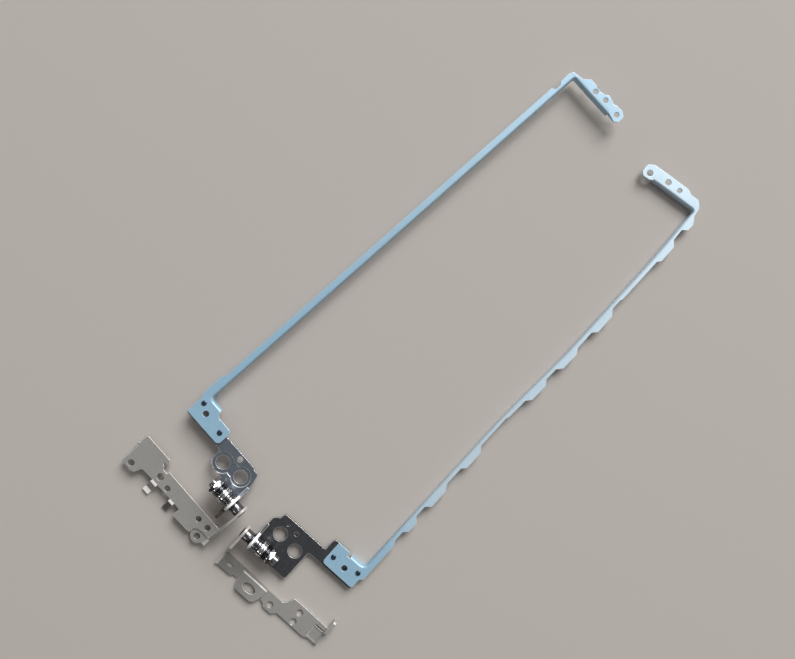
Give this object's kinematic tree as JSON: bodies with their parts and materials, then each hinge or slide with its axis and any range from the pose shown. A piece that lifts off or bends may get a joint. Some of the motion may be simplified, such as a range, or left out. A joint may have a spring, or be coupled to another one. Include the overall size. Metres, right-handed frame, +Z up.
{
  "type": "laptop display hinge pair",
  "caption": "Left and right friction hinges of a laptop display: base bracket, shaft with washers and disc springs, and an arm riveted to a long side rail, lying opened flat.",
  "frame": {"origin": "middle of the outer box in plan, on the surface the pair lies on", "axes": "+Y from the hinges along the display rails, +X from the left hinge to the right hinge, +Z up from the surface"},
  "size_m": [0.1166, 0.2638, 0.013],
  "materials": {
    "nickel_plate": "nickel plated, satin",
    "blue_zinc": "pale blue zinc plated, satin",
    "bright_steel": "bright ground steel",
    "dark_spring_steel": "dark phosphated spring steel",
    "dark_rivet": "dark steel rivet",
    "black_arm": "black coated steel, satin",
    "grey_arm": "gunmetal coated steel, satin"
  },
  "bodies": {
    "bases": {"right_base_bracket": "nickel_plate", "right_hinge_shaft": "bright_steel", "right_inner_friction_washer": "bright_steel", "right_stop_washer": "bright_steel", "right_keyed_sleeve_a": "bright_steel", "right_keyed_sleeve_b": "bright_steel", "right_thrust_disc": "bright_steel", "right_cam_disc": "bright_steel", "right_disc_spring_1": "dark_spring_steel", "right_disc_spring_2": "dark_spring_steel", "right_disc_spring_3": "dark_spring_steel", "right_disc_spring_4": "dark_spring_steel", "right_pressure_washer": "bright_steel", "right_lock_nut": "bright_steel", "left_base_bracket": "nickel_plate", "left_hinge_shaft": "bright_steel", "left_inner_friction_washer": "bright_steel", "left_stop_washer": "bright_steel", "left_keyed_sleeve_a": "bright_steel", "left_keyed_sleeve_b": "bright_steel", "left_thrust_disc": "bright_steel", "left_cam_disc": "bright_steel", "left_disc_spring_1": "dark_spring_steel", "left_disc_spring_2": "dark_spring_steel", "left_disc_spring_3": "dark_spring_steel", "left_disc_spring_4": "dark_spring_steel", "left_pressure_washer": "bright_steel", "left_lock_nut": "bright_steel"},
    "right_arm": {"right_arm_bracket": "black_arm", "right_display_rail": "blue_zinc", "right_rail_rivet_a": "dark_rivet", "right_rail_rivet_b": "dark_rivet"},
    "left_arm": {"left_arm_bracket": "grey_arm", "left_display_rail": "blue_zinc", "left_rail_rivet_a": "dark_rivet", "left_rail_rivet_b": "dark_rivet"}
  },
  "joints": [
    {"name": "right_hinge", "type": "hinge", "parent": "bases", "child": "right_arm", "pos_m": [0.00682, -0.11008, 0.0066], "axis": [0.9984, 0.0567, 0], "range_deg": [0, 180]},
    {"name": "left_hinge", "type": "hinge", "parent": "bases", "child": "left_arm", "pos_m": [-0.01102, -0.10463, 0.009], "axis": [0.9984, -0.0567, 0], "range_deg": [0, 180]}
  ]
}
